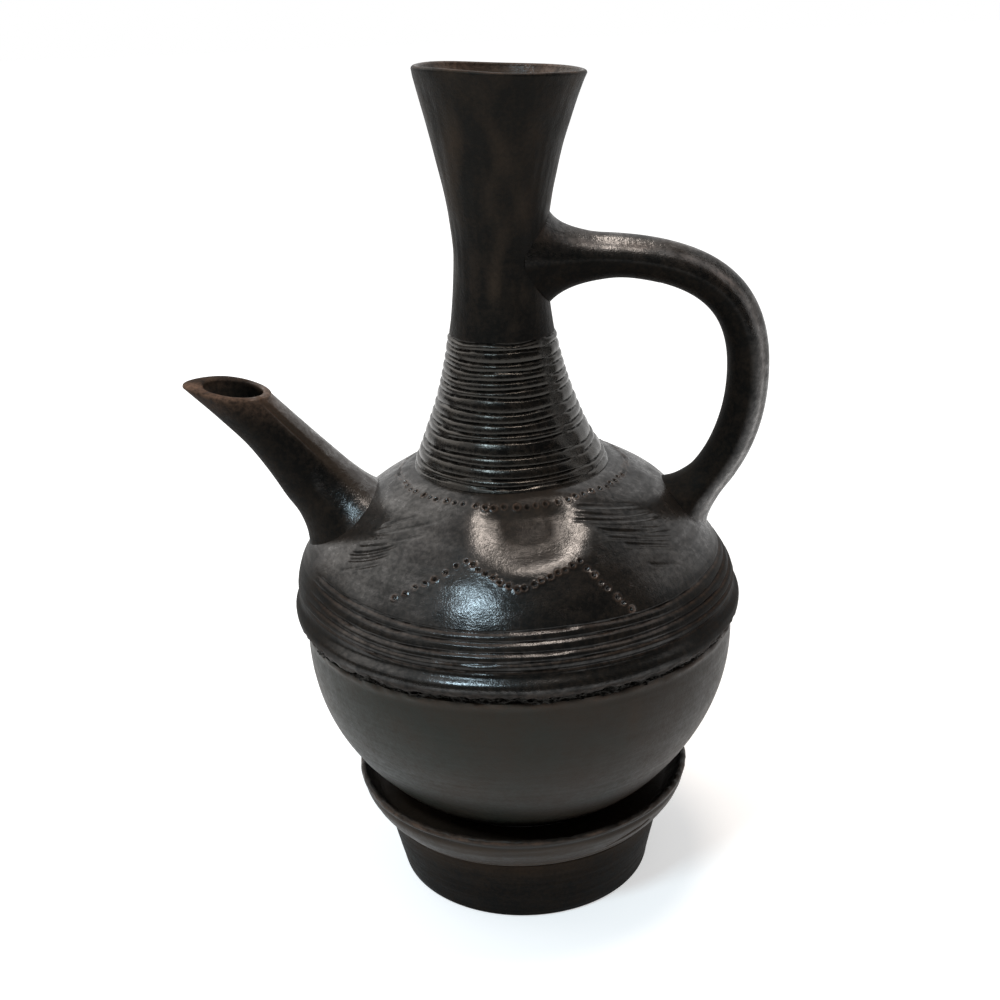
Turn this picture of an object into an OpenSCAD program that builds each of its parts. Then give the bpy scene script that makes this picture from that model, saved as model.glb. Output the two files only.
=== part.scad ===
// Jebena: a round-bottomed clay coffee pot that rests loose in a clay ring stand.
// Millimetres. +Z is up, the spout points along -X and the handle lies on the +X side.
// The origin is the middle of the stand's foot, on the surface that the stand rests on.
// The pot is made of clay members that are luted together with slip: each member is a solid.

/* [Stand] */
// Height of the foot ring
foot_height = 23; // [16:0.1:28]
// Outer radius of the foot ring on the table
foot_radius = 40.8; // [38:0.1:47]
// Outer radius of the foot ring under the dish
foot_top_radius = 45.8; // [41:0.1:50]
// Radius of the rounded edges of the foot and the dish
stand_edge = 1.2; // [0.6:0.1:1.8]
// Height of the dish above the foot ring
dish_height = 13.5; // [11:0.1:18]
// Outer radius of the dish's rim
dish_radius = 53.5; // [51:0.1:62]
// Wall of the dish at its rim
dish_rim_wall = 3.6; // [2.6:0.1:5]
// Wall of the dish above its ledge
dish_wall = 4; // [3:0.1:5.5]
// How far the dish's lower edge stands out past the foot ring
dish_step = 1.3; // [0.3:0.1:2]
// How far the dish's outer wall bulges between its lower edge and its rim
dish_bulge = 0.8; // [0:0.1:1.2]
// Radius of the circle on which the belly rests
seat_radius = 32; // [29:0.1:34]
// Width of the seat
seat_width = 6; // [4:0.1:8]
// Height of the seat's circle above the foot ring
seat_height = 4.4; // [3.6:0.1:5.5]
// Wall of the dish's spigot inside the foot ring
spigot_wall = 2.8; // [2:0.1:4]
// Depth of the dish's spigot inside the foot ring
spigot_depth = 5; // [3:0.1:8]
// Free space between the belly and its seat
seat_gap = 0.3; // [0.2:0.05:0.6]

/* [Belly] */
// Outer radius of the round belly
belly_radius = 66.5; // [60:0.1:74]
// Wall of the belly
belly_wall = 5; // [4:0.1:8]
// Height of the belly's edge above its widest circle
belly_edge_rise = 4; // [2:0.1:7]
// How far the belly's edge is turned out
belly_edge_turn = 0.7; // [0.3:0.1:1.2]
// Height over which the belly's edge is turned out
belly_edge_height = 3; // [2:0.1:5]

/* [Seam] */
// Height of the band of luting clay between belly and shoulder
seam_height = 2.8; // [1.5:0.1:5]
// How far the band lies behind the belly's edge
seam_set_in = 0.8; // [0.4:0.1:1.5]

/* [Shoulder] */
// How far the shoulder's widest circle stands out past the belly
shoulder_overhang = 2.6; // [1.5:0.1:5]
// Height of the shoulder's widest circle above the seam
shoulder_lip_height = 3.7; // [2:0.1:6]
// How far the shoulder's lower lip turns in
shoulder_lip_turn = 0.8; // [0.3:0.1:1.4]
// Height of the shoulder above its widest circle
shoulder_height = 41; // [34:0.5:50]
// Fullness of the shoulder's curve, from 1 for a cone to 2 for an ellipse
shoulder_fullness = 1.38; // [1.25:0.01:1.7]
// Wall of the shoulder
shoulder_wall = 5; // [4:0.1:7]
// Number of grooves round the shoulder
shoulder_grooves = 5; // [1:1:6]
// Height of the lowest groove above the widest circle
shoulder_groove_rise = 4; // [3:0.1:6]
// Height from one shoulder groove to the next
shoulder_groove_pitch = 2.4; // [2:0.1:3]

/* [Neck] */
// Outer radius of the neck at its base
neck_base_radius = 29.6; // [26:0.1:34]
// Outer radius of the neck at its waist
neck_waist_radius = 13.6; // [12.5:0.1:17]
// Height of the waist above the neck's base
neck_height = 63.5; // [54:0.5:76]
// Sweep of the neck's curve, where 1 is a cone
neck_sweep = 2.2; // [1.6:0.05:2.8]
// Wall of the neck
neck_wall = 4.2; // [3.4:0.1:5]
// Height of the joint with the mouth above the neck's base
neck_joint_height = 40.3; // [34:0.1:46]
// Number of rings scored round the neck
neck_rings = 15; // [8:1:16]
// Width of a scored groove
groove_width = 1.3; // [0.8:0.1:1.6]
// Depth of a scored groove
groove_depth = 0.5; // [0.2:0.05:0.8]

/* [Mouth] */
// Outer radius of the mouth's rim
mouth_radius = 24.6; // [21:0.1:30]
// Height of the rim above the waist
mouth_height = 50.4; // [42:0.1:60]
// Sweep of the mouth's curve, where 1 is a cone
mouth_sweep = 1.58; // [1.3:0.02:2]
// Wall at the rim
mouth_wall = 3.2; // [2.6:0.1:4]

/* [Joints] */
// Length of a lap between two members of the wall
lap = 4; // [2.5:0.1:6]
// Film of slip between two members that are luted together
slip = 0.2; // [0.1:0.05:0.4]

/* [Spout] */
// Height of the spout's root above the seam
spout_root_height = 31.1; // [27:0.1:34]
// Angle of the spout above the level at its root
spout_root_angle = 51.5; // [46:0.5:58]
// Angle of the spout above the level at its mouth
spout_mouth_angle = 45; // [40:0.5:50]
// Length of the spout's lower run
spout_lower_run = 39.4; // [32:0.1:48]
// Length of the spout's upper run
spout_upper_run = 13.1; // [10:0.1:18]
// Outer radius of the spout at its root
spout_root_radius = 13; // [11.5:0.1:15]
// Outer radius of the spout at its mouth
spout_mouth_radius = 8.6; // [7.8:0.1:10]
// Sweep of the spout's taper, where 1 is a cone
spout_taper = 2.3; // [1.4:0.1:3]
// Radius of the spout's channel at its root
spout_root_bore = 7.2; // [5.5:0.1:7.8]
// Radius of the spout's channel at its mouth
spout_mouth_bore = 5.6; // [4.6:0.1:6.2]
// Rise of the mouth's cut towards the tip, in degrees
spout_mouth_tilt = 6; // [0:0.5:12]
// Radius of the spout's tenon in the shoulder wall
spout_tenon = 10; // [9:0.1:11]
// Reach of the luted collar up the spout
spout_collar_height = 15; // [10:0.1:20]
// Spread of the luted collar at the spout's root, past the spout's own radius
spout_collar_spread = 3.8; // [2:0.1:5]

/* [Handle] */
// Depth of the handle's neck joint below the waist
handle_neck_drop = 1.2; // [0:0.1:4]
// Distance from the pot's axis to the middle of the handle where it bows out most
handle_reach = 71.3; // [66:0.1:84]
// Depth of that point below the handle's neck joint
handle_bow_drop = 36.8; // [30:0.1:44]
// Height of the handle's lower joint above the seam
handle_root_height = 29.5; // [27:0.1:33]
// Angle of the handle above the level at its lower joint
handle_root_angle = 40; // [30:1:50]
// Length of the handle's straight pull at the neck
handle_neck_pull = 39.8; // [34:0.1:44]
// Length of the straight pull above the widest point
handle_upper_pull = 27.2; // [20:0.1:32]
// Length of the straight pull below the widest point
handle_lower_pull = 20; // [14:0.1:24]
// Length of the straight pull at the lower joint
handle_root_pull = 14; // [10:0.1:18]
// Half of the handle's thickness
handle_half_thick = 6.3; // [5.4:0.1:7.5]
// Half of the handle's width
handle_half_wide = 7; // [6:0.1:8]
// Radius of the handle's tenons
handle_tenon = 4.8; // [3.8:0.1:5.2]
// Reach of the luted pad along the handle at the neck
neck_pad_length = 19; // [12:0.1:22]
// Spread of that pad up and down the neck, past the handle
neck_pad_rise = 5.2; // [3:0.1:6]
// Spread of that pad round the neck, past the handle
neck_pad_spread = 2.2; // [1:0.1:3]
// Reach of the luted pad along the handle at the shoulder
shoulder_pad_length = 13; // [9:0.1:17]
// Spread of that pad on the shoulder, past the handle
shoulder_pad_spread = 3.6; // [2:0.1:5]

/* [Hidden] */
$fn = 96;

// Steps along a curve, and sides of a swept tube
curve_steps = 14;
sweep_steps = 16;
sides = 32;
// Overlap of one shape with the next inside a solid, and of a cutter with what it cuts
bite = 1;
// Least wall that is left where a luted pad feathers out on the handle or the spout
feather = 0.6;

BURNISHED = [0.13, 0.12, 0.11];
SATIN = [0.19, 0.17, 0.16];
RAW = [0.09, 0.08, 0.07];
WORN = [0.17, 0.13, 0.11];

// Heights of the joints, from the table up
dish_bottom = foot_height;
dish_top = dish_bottom + dish_height;
seat_z = dish_bottom + seat_height;
seat_ball = belly_radius + seat_gap;
belly_z = seat_z + sqrt(seat_ball ^ 2 - seat_radius ^ 2);
belly_top = belly_z + belly_edge_rise;
seam_top = belly_top + seam_height;
widest_z = seam_top + shoulder_lip_height;
neck_base_z = widest_z + shoulder_height;
neck_joint_z = neck_base_z + neck_joint_height;
waist_z = neck_base_z + neck_height;
rim_z = waist_z + mouth_height;

// Radii that follow from the ones above
widest_radius = belly_radius + shoulder_overhang;
lip_radius = widest_radius - shoulder_lip_turn;
seam_radius = belly_radius + belly_edge_turn - seam_set_in;
shell_inner = belly_radius - belly_wall;
throat_radius = seat_radius - seat_width / 2;
spigot_radius = throat_radius + spigot_wall;
dish_low_radius = foot_top_radius + dish_step;

// The pot's wall as outer radii by height
function shoulder_r(z, wall = 0) =
    let (top = neck_base_radius, h = shoulder_height - wall)
    let (rise = min(1, max(0, (z - widest_z) / h)))
    top + (widest_radius - wall - top) * (1 - rise ^ shoulder_fullness) ^ (1 / shoulder_fullness);

function neck_r(z) =
    neck_waist_radius
    + (neck_base_radius - neck_waist_radius) * ((waist_z - z) / neck_height) ^ neck_sweep;

function mouth_r(z) =
    neck_waist_radius
    + (mouth_radius - neck_waist_radius) * ((z - waist_z) / mouth_height) ^ mouth_sweep;

function throat_r(z) = z < waist_z ? neck_r(z) : mouth_r(z);

// The wall thins from the waist to the rim
function throat_wall(z) =
    neck_wall + (mouth_wall - neck_wall) * max(0, (z - waist_z) / mouth_height);

function steps(from, to, count) = [for (i = [0:count]) from + (to - from) * i / count];

function neck_points(from, to, inset = 0) =
    [for (z = steps(from, to, curve_steps)) [throat_r(z) - inset * throat_wall(z), z]];

// Points of the shoulder's curve from the height `from` up to the neck, at even angles
function shoulder_points(from, wall = 0) =
    let (h = shoulder_height - wall, power = 2 / shoulder_fullness)
    let (start = asin(((from - widest_z) / h) ^ (1 / power)))
    [for (a = steps(start, 90, curve_steps)) [
        neck_base_radius + (widest_radius - wall - neck_base_radius) * max(0, cos(a)) ^ power,
        widest_z + h * sin(a) ^ power,
    ]];

// Three points of a scored groove on a wall of radius r and height z
function groove(z, below, at, above) = [
    [below, z - groove_width / 2],
    [at - groove_depth, z],
    [above, z + groove_width / 2],
];

function flat(lists) = [for (list = lists) each list];
function reversed(list) = [for (i = [len(list) - 1:-1:0]) list[i]];

// Points on a round edge of radius r about a centre, between two angles
function arc(centre, r, from, to) =
    [for (a = steps(from, to, 8)) centre + r * [cos(a), sin(a)]];

// A turned solid, whose start lies at the side, away from the spout and the handle
module lathe(points) {
    rotate([0, 0, 90]) rotate_extrude() polygon(points);
}

// Curves in the plane of spout and handle, as [x, z] points
function bezier2(p, t) = (1 - t) ^ 2 * p[0] + 2 * (1 - t) * t * p[1] + t ^ 2 * p[2];
function bezier3(p, t) =
    (1 - t) ^ 3 * p[0] + 3 * (1 - t) ^ 2 * t * p[1] + 3 * (1 - t) * t ^ 2 * p[2] + t ^ 3 * p[3];
function unit(v) = v / norm(v);
function heading(angle) = [cos(angle), sin(angle)];

// Direction of a path at one of its points
function direction(path, i) = unit(path[min(i + 1, len(path) - 1)] - path[max(i - 1, 0)]);

// Length of a path up to one of its points
function run(path, i) = i == 0 ? 0 : run(path, i - 1) + norm(path[i] - path[i - 1]);

// Point at a distance along a path
function point_at(path, at, i = 1) =
    i < len(path) - 1 && run(path, i) < at
        ? point_at(path, at, i + 1)
        : path[i - 1] + unit(path[i] - path[i - 1]) * (at - run(path, i - 1));

// An oval ring square to a path: half sizes in the path's plane and across it
function ring(centre, along, in_plane, across) = [
    for (i = [0:sides - 1])
        let (a = 360 * i / sides, up = [-along[1], along[0]] * in_plane * cos(a))
        [centre[0] + up[0], across * sin(a), centre[1] + up[1]]
];

// A closed tube through rings of points
module tube(rings) {
    count = len(rings);
    walls = [
        for (k = [0:count - 2], i = [0:sides - 1])
            let (a = k * sides + i, b = k * sides + (i + 1) % sides)
            each [[a, b, a + sides], [b, b + sides, a + sides]]
    ];
    first = [for (i = [sides - 1:-1:0]) i];
    last = [for (i = [0:sides - 1]) (count - 1) * sides + i];
    polyhedron(flat(rings), concat([first], walls, [last]));
}

// Solids of the pot's outside, with a film of slip on it, and of its inside: they trim what meets the wall
module pot_outside(film = slip) {
    wall = concat(shoulder_points(widest_z), neck_points(neck_base_z, rim_z));
    lathe(concat(
        [[0, seam_top], [widest_radius + film, seam_top]],
        [for (point = wall) point + [film, film]],
        [[0, rim_z + film]]
    ));
}

module pot_inside() {
    lathe(concat(
        [[0, seam_top], [widest_radius - shoulder_wall, seam_top]],
        shoulder_points(widest_z, shoulder_wall),
        neck_points(neck_base_z, rim_z, 1),
        [[0, rim_z]]
    ));
}

// Turns a solid that stands on Z at the origin to a point and direction in the XZ plane
module aim(point, along) {
    translate([point[0], 0, point[1]])
        rotate([0, atan2(along[0], along[1]), 0])
            children();
}

// The spout's middle line, from its root on the shoulder to past its mouth
spout_root = [-shoulder_r(seam_top + spout_root_height), seam_top + spout_root_height];
spout_out = [-cos(spout_root_angle), sin(spout_root_angle)];
spout_end_out = [-cos(spout_mouth_angle), sin(spout_mouth_angle)];
spout_bend = spout_root + spout_lower_run * spout_out;
spout_mouth = spout_bend + spout_upper_run * spout_end_out;
spout_start = spout_root - 2 * shoulder_wall * spout_out;
spout_past = spout_mouth + 2 * spout_mouth_radius * spout_end_out;
spout_path = concat(
    [spout_start],
    [for (t = steps(0, 1, sweep_steps)) bezier2([spout_root, spout_bend, spout_mouth], t)],
    [spout_past]
);
spout_length = run(spout_path, sweep_steps + 1);

// Radius of the spout or of its channel at a distance along the middle line
function spout_r(at, root, mouth) =
    mouth + (root - mouth) * max(0, 1 - at / spout_length) ^ spout_taper;

module spout_solid(root, mouth) {
    tube([
        for (i = [0:len(spout_path) - 1])
            let (r = spout_r(run(spout_path, i), root, mouth))
            ring(spout_path[i], direction(spout_path, i), r, r)
    ]);
}

// The handle's middle line, from the neck to the shoulder
handle_top_z = waist_z - handle_neck_drop;
handle_top = [throat_r(handle_top_z), handle_top_z];
handle_bow = [handle_reach, handle_top_z - handle_bow_drop];
handle_root_z = seam_top + handle_root_height;
handle_root = [shoulder_r(handle_root_z), handle_root_z];
handle_root_out = heading(handle_root_angle);
handle_upper = [
    handle_top,
    handle_top + [handle_neck_pull, 0],
    handle_bow + [0, handle_upper_pull],
    handle_bow,
];
handle_lower = [
    handle_bow,
    handle_bow - [0, handle_lower_pull],
    handle_root + handle_root_pull * handle_root_out,
    handle_root,
];
handle_path = concat(
    [handle_top - [2 * neck_wall, 0]],
    [for (t = steps(0, 1, sweep_steps)) bezier3(handle_upper, t)],
    [for (t = steps(1 / sweep_steps, 1, sweep_steps - 1)) bezier3(handle_lower, t)],
    [handle_root - 2 * shoulder_wall * handle_root_out]
);

module handle_solid(extra = 0) {
    tube([
        for (i = [0:len(handle_path) - 1])
            ring(
                handle_path[i], direction(handle_path, i),
                handle_half_thick + extra, handle_half_wide + extra
            )
    ]);
}

// A pad of clay smeared round the handle: it starts inside a wall at the path's first point, spreads
// on that wall, and feathers out over its length
module pad_solid(path, inset, length, in_plane, across) {
    stops = steps(0, inset + length, curve_steps);
    pad_path = [for (at = stops) point_at(path, at)];
    tube([
        for (i = [0:curve_steps])
            let (left = min(1, (inset + length - stops[i]) / length) ^ 2)
            ring(
                pad_path[i], direction(pad_path, i),
                handle_half_thick + feather + in_plane * left,
                handle_half_wide + feather + across * left
            )
    ]);
}

module handle_tenons(r) {
    aim(handle_top - [neck_wall + bite, 0], [1, 0])
        cylinder(r = r, h = neck_wall + 2 * bite);
    aim(handle_root - 2 * shoulder_wall * handle_root_out, handle_root_out)
        cylinder(r = r, h = 2 * shoulder_wall + bite);
}

module spout_tenon_solid(r) {
    aim(spout_start, spout_out) cylinder(r = r, h = 2 * shoulder_wall + bite);
}

// Foot ring: the part of the stand that rests on the table
module stand_foot() {
    inner = spigot_radius + slip;
    color(SATIN) lathe(concat(
        [[inner, 0]],
        arc([foot_radius - stand_edge, stand_edge], stand_edge, -90, 0),
        [[foot_top_radius, foot_height], [inner, foot_height]]
    ));
}

// Open dish: it sits on the foot ring with a spigot inside it, and carries the belly on its seat
module stand_dish() {
    rim_r = dish_rim_wall / 2;
    seat_from = -acos(throat_radius / seat_ball);
    seat_to = -acos((seat_radius + seat_width / 2) / seat_ball);
    ledge_z = belly_z + seat_ball * sin(seat_to);
    low = [dish_low_radius, dish_bottom + stand_edge];
    high = [dish_radius, dish_top - rim_r];
    bow = (low + high) / 2 + 2 * dish_bulge * [1, -1];
    ledge_radius = low[0] + (high[0] - low[0]) * (ledge_z - low[1]) / (high[1] - low[1]) - dish_wall;
    color(SATIN) lathe(concat(
        [
            [throat_radius, dish_bottom - spigot_depth],
            [spigot_radius, dish_bottom - spigot_depth],
            [spigot_radius, dish_bottom],
        ],
        arc([dish_low_radius - stand_edge, dish_bottom + stand_edge], stand_edge, -90, 0),
        [for (t = steps(1 / 8, 7 / 8, 6)) bezier2([low, bow, high], t)],
        arc([dish_radius - rim_r, dish_top - rim_r], rim_r, 0, 180),
        [[ledge_radius, ledge_z]],
        reversed(arc([0, belly_z], seat_ball, seat_from, seat_to))
    ));
}

// Round lower half of the pot
module belly_bowl() {
    edge_start = belly_top - belly_edge_height;
    reach = (edge_start - belly_z) / belly_radius;
    color(SATIN) rotate_extrude() difference() {
        union() {
            intersection() {
                translate([0, belly_z]) circle(r = belly_radius);
                translate([0, belly_z - belly_radius])
                    square([belly_radius, belly_radius + belly_edge_rise]);
            }
            polygon([
                [shell_inner, edge_start],
                [belly_radius * cos(asin(reach)), edge_start],
                [belly_radius + belly_edge_turn, belly_top],
                [shell_inner, belly_top],
            ]);
        }
        translate([0, belly_z]) circle(r = shell_inner);
        translate([0, belly_z]) square([shell_inner, belly_edge_rise + bite]);
    }
}

// Band of luting clay, torn and rough, pressed between the belly's edge and the shoulder
module seam_band() {
    color(RAW) translate([0, 0, belly_top]) difference() {
        cylinder(r = seam_radius, h = seam_height);
        translate([0, 0, -bite]) cylinder(r = shell_inner, h = seam_height + 2 * bite);
    }
}

// Upper half of the pot's body, with a raised collar round its opening for the neck
module shoulder_dome() {
    scored = [
        for (i = [0:shoulder_grooves - 1])
            let (z = widest_z + shoulder_groove_rise + i * shoulder_groove_pitch)
            groove(
                z, shoulder_r(z - groove_width / 2), shoulder_r(z), shoulder_r(z + groove_width / 2)
            )
    ];
    scored_top = flat(scored)[3 * shoulder_grooves - 1][1];
    collar_out = neck_base_radius - neck_wall - slip;
    collar_in = collar_out - neck_wall;
    inner = [
        for (p = shoulder_points(widest_z, shoulder_wall))
            if (p[0] > neck_base_radius) p
    ];
    color(BURNISHED) difference() {
        lathe(concat(
            [[lip_radius, seam_top], [widest_radius, widest_z - shoulder_lip_turn]],
            [[widest_radius, widest_z]],
            flat(scored),
            shoulder_points(scored_top + groove_width),
            [
                [collar_out, neck_base_z],
                [collar_out, neck_base_z + lap],
                [collar_in, neck_base_z + lap],
                [collar_in, neck_base_z - shoulder_wall],
            ],
            reversed(inner),
            [[widest_radius - shoulder_wall, seam_top]]
        ));
        spout_tenon_solid(spout_tenon + slip);
        handle_tenons(handle_tenon + slip);
    }
}

// Lower half of the neck: it sits over the shoulder's collar and is scored with rings
module neck_cone() {
    pitch = (neck_joint_height - groove_width) / neck_rings;
    scored = [
        for (i = [0:neck_rings - 1])
            let (z = neck_base_z + groove_width + i * pitch)
            groove(z, neck_r(z - groove_width / 2), neck_r(z), neck_r(z + groove_width / 2))
    ];
    socket = neck_base_radius - neck_wall;
    socket_top = neck_base_z + lap + slip;
    lap_radius = neck_r(neck_joint_z) - neck_wall / 2;
    lap_bottom = neck_joint_z - lap;
    color(BURNISHED) lathe(concat(
        [[socket, neck_base_z], [neck_base_radius, neck_base_z]],
        flat(scored),
        [[neck_r(neck_joint_z), neck_joint_z], [lap_radius, neck_joint_z], [lap_radius, lap_bottom]],
        reversed(neck_points(socket_top, lap_bottom, 1)),
        [[socket, socket_top]]
    ));
}

// Waist and flared mouth: a tenon below fits in the neck's lap, and the handle plugs into its side
module mouth_funnel() {
    lip = mouth_wall / 2;
    lap_bottom = neck_joint_z - lap + slip;
    tenon_out = neck_r(neck_joint_z) - neck_wall / 2 - slip;
    tenon_in = neck_r(neck_joint_z) - neck_wall;
    color(WORN) difference() {
        lathe(concat(
            [[tenon_in, lap_bottom], [tenon_out, lap_bottom], [tenon_out, neck_joint_z]],
            neck_points(neck_joint_z, rim_z - lip),
            arc([mouth_r(rim_z - lip) - lip, rim_z - lip], lip, 0, 180),
            reversed(neck_points(neck_joint_z, rim_z - 2 * lip, 1))
        ));
        handle_tenons(handle_tenon + slip);
    }
}

// Pouring spout: a tapered tube with a tenon in the shoulder wall, cut off nearly level at its mouth
module spout_tube() {
    color(BURNISHED) difference() {
        union() {
            difference() {
                spout_solid(spout_root_radius, spout_mouth_radius);
                pot_outside();
            }
            spout_tenon_solid(spout_tenon);
        }
        spout_solid(spout_root_bore, spout_mouth_bore);
        pot_inside();
        translate([spout_mouth[0], 0, spout_mouth[1]])
            rotate([0, spout_mouth_tilt, 0])
                translate([-spout_length, -spout_length, 0])
                    cube(2 * spout_length);
    }
}

// Collar of luting clay that fills the corner between the spout and the shoulder
module spout_collar() {
    root = spout_root_radius + feather;
    mouth = spout_mouth_radius + feather;
    height = 2 * shoulder_wall + spout_collar_height;
    flare = [
        for (z = steps(0, height, curve_steps))
            let (left = (height - z) / spout_collar_height)
            [spout_r(z, root, mouth) + spout_collar_spread * left ^ 2, z]
    ];
    color(BURNISHED) difference() {
        aim(spout_start, spout_out) lathe(concat([[0, 0]], flare, [[0, height]]));
        pot_outside();
        spout_solid(spout_root_radius + slip, spout_mouth_radius + slip);
    }
}

// Handle: a rolled coil of clay, bowed out from the neck and let into both walls
module handle_loop() {
    color(BURNISHED) difference() {
        union() {
            difference() {
                handle_solid();
                pot_outside();
            }
            handle_tenons(handle_tenon);
        }
        pot_inside();
    }
}

// Pad of luting clay round the handle at the neck
module handle_neck_pad() {
    color(BURNISHED) difference() {
        pad_solid(handle_path, 2 * neck_wall, neck_pad_length, neck_pad_rise, neck_pad_spread);
        pot_outside();
        handle_solid(slip);
    }
}

// Pad of luting clay round the handle at the shoulder
module handle_shoulder_pad() {
    color(BURNISHED) difference() {
        pad_solid(
            reversed(handle_path), 2 * shoulder_wall, shoulder_pad_length,
            shoulder_pad_spread, shoulder_pad_spread
        );
        pot_outside();
        handle_solid(slip);
    }
}

stand_foot();
stand_dish();
belly_bowl();
seam_band();
shoulder_dome();
neck_cone();
mouth_funnel();
spout_tube();
spout_collar();
handle_loop();
handle_neck_pad();
handle_shoulder_pad();
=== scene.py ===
"""Looks of a hand-built, burnished clay coffee pot that rests loose in a clay ring stand.

Sizes are in millimetres and angles in degrees until a mesh is made. An angle round the pot is
measured from its front, at -Y, towards the handle, at +X, so the spout lies at -90.
"""
import math

import bpy
import numpy as np
from mathutils import Matrix, Vector


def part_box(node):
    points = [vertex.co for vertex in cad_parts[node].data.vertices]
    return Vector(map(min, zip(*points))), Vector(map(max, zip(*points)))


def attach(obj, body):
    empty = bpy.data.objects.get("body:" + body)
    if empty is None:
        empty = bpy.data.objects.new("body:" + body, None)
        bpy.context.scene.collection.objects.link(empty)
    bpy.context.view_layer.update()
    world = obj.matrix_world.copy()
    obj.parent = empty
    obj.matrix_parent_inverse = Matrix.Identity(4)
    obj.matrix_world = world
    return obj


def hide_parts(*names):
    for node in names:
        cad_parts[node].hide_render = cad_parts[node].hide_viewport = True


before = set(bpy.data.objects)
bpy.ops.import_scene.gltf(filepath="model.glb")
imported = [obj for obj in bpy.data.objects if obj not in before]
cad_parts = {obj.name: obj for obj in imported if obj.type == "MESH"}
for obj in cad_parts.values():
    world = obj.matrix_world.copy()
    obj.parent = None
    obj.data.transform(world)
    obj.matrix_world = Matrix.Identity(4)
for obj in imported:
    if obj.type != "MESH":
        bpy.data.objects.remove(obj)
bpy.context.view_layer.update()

MM = 0.001


def low(node_name, axis=2):
    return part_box(node_name)[0][axis] / MM


def high(node_name, axis=2):
    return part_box(node_name)[1][axis] / MM


# Heights and radii that the frame gives
FOOT_TOP = high("stand_foot")
FOOT_TOP_RADIUS = high("stand_foot", 1)
DISH_TOP = high("stand_dish")
DISH_RADIUS = high("stand_dish", 1)
BELLY_TOP = high("belly_bowl")
SEAM_TOP = high("seam_band")
SEAM_RADIUS = high("seam_band", 1)
WIDEST_RADIUS = high("shoulder_dome", 1)
NECK_BASE = low("neck_cone")
NECK_BASE_RADIUS = high("neck_cone", 1)
NECK_TOP = high("neck_cone")
RIM = high("mouth_funnel")

# Stand
FOOT_RADIUS = 40.8
FOOT_BORE = 32.0
STAND_EDGE = 1.2
DISH_STEP = 1.3
DISH_BULGE = 0.8
DISH_RIM_WALL = 1.9
DISH_WALL = 4.0
SEAT_GAP = 0.3
SEAT_RADII = (29.0, 35.0)
SPIGOT_RADIUS = 31.8
SPIGOT_DEPTH = 5.0

# Belly and shoulder
WALL = 5.0
BELLY_EDGE_RISE = 4.0
BELLY_EDGE_HEIGHT = 3.0
BELLY_EDGE_TURN = 0.7
BELLY_Z = BELLY_TOP - BELLY_EDGE_RISE
BELLY_RADIUS = BELLY_Z - low("belly_bowl")
LIP_HEIGHT = 3.7
LIP_TURN = 0.8
WIDEST_Z = SEAM_TOP + LIP_HEIGHT
SHOULDER_HEIGHT = NECK_BASE - WIDEST_Z
SHOULDER_FULLNESS = 1.38

# Neck and mouth
WAIST_Z = NECK_BASE + 63.5
WAIST_RADIUS = 13.6
NECK_SWEEP = 2.2
MOUTH_RADIUS = 24.6
MOUTH_SWEEP = 1.58
NECK_WALL = 4.2
RIM_WALL = 3.2
RIM_TILT = 0.065
RIM_LIFT = 0.7

# Spout
SPOUT_ANGLE = -90.0
SPOUT_ROOT_RISE = 31.1
SPOUT_ROOT_ANGLE = 51.5
SPOUT_MOUTH_ANGLE = 45.0
SPOUT_LOWER_RUN = 39.4
SPOUT_UPPER_RUN = 13.1
SPOUT_ROOT_RADIUS = 13.0
SPOUT_MOUTH_RADIUS = 8.6
SPOUT_TAPER = 2.3
SPOUT_BORE = 5.6
SPOUT_MOUTH_TILT = 7.9
SPOUT_MOUTH_TWIST = 0.14
SPOUT_MOUTH_RAISED = 0.1
SPOUT_COLLAR_HEIGHT = 15.0
SPOUT_COLLAR_SPREAD = 4.8

# Handle
HANDLE_ANGLE = 90.0
HANDLE_TOP_DROP = 1.2
HANDLE_REACH = 71.3
HANDLE_BOW_DROP = 36.8
HANDLE_ROOT_RISE = 29.5
HANDLE_ROOT_ANGLE = 40.0
HANDLE_PULLS = (39.8, 27.2, 20.0, 14.0)
HANDLE_HALF_THICK = 6.3
HANDLE_HALF_WIDE = 7.0
NECK_PAD_LENGTH = 22.0
NECK_PAD_RISE = 6.8
NECK_PAD_SPREAD = 4.8
SHOULDER_PAD_LENGTH = 13.0
SHOULDER_PAD_SPREAD = 4.4


# Shapes of numbers

def smooth(x, start, end):
    """0 before start, 1 after end, and an even turn between them."""
    t = np.clip((x - start) / (end - start), 0, 1)
    return t * t * (3 - 2 * t)


def fade(x, start, end):
    """1 before start, 0 after end, and an even turn between them."""
    return 1 - smooth(x, start, end)


def band(x, start, full, ebb, end):
    """1 from full to ebb, and 0 before start and after end."""
    return smooth(x, start, full) * fade(x, ebb, end)


def hill(x, middle, half_width):
    """A round hill of height 1."""
    return np.exp(-(((x - middle) / half_width) ** 2))


def turn_from(angle, middle):
    """Signed angle from a middle, from -180 to 180."""
    return (angle - middle + 180) % 360 - 180


def apart(angle, middle):
    """Angle from a middle, from 0 to 180."""
    return np.abs(turn_from(angle, middle))


def ripple(seed, angle, height, turns, pitch, count=36):
    """Waves laid over each other, about -1 to 1, which close round the pot.

    turns is the most waves round the pot, and pitch the shortest wave along the height.
    """
    draw = np.random.default_rng(seed)
    total = 0
    for _ in range(count):
        around = draw.integers(-turns, turns + 1)
        along = draw.uniform(-1, 1) * 2 * math.pi / pitch
        phase = draw.uniform(0, 2 * math.pi)
        total = total + np.cos(around * np.radians(angle) + along * height + phase)
    return total / math.sqrt(count)


def wander(seed, angle, turns):
    """A wavy line round the pot, about -1 to 1."""
    return ripple(seed, angle, 0, turns, 1)


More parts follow.
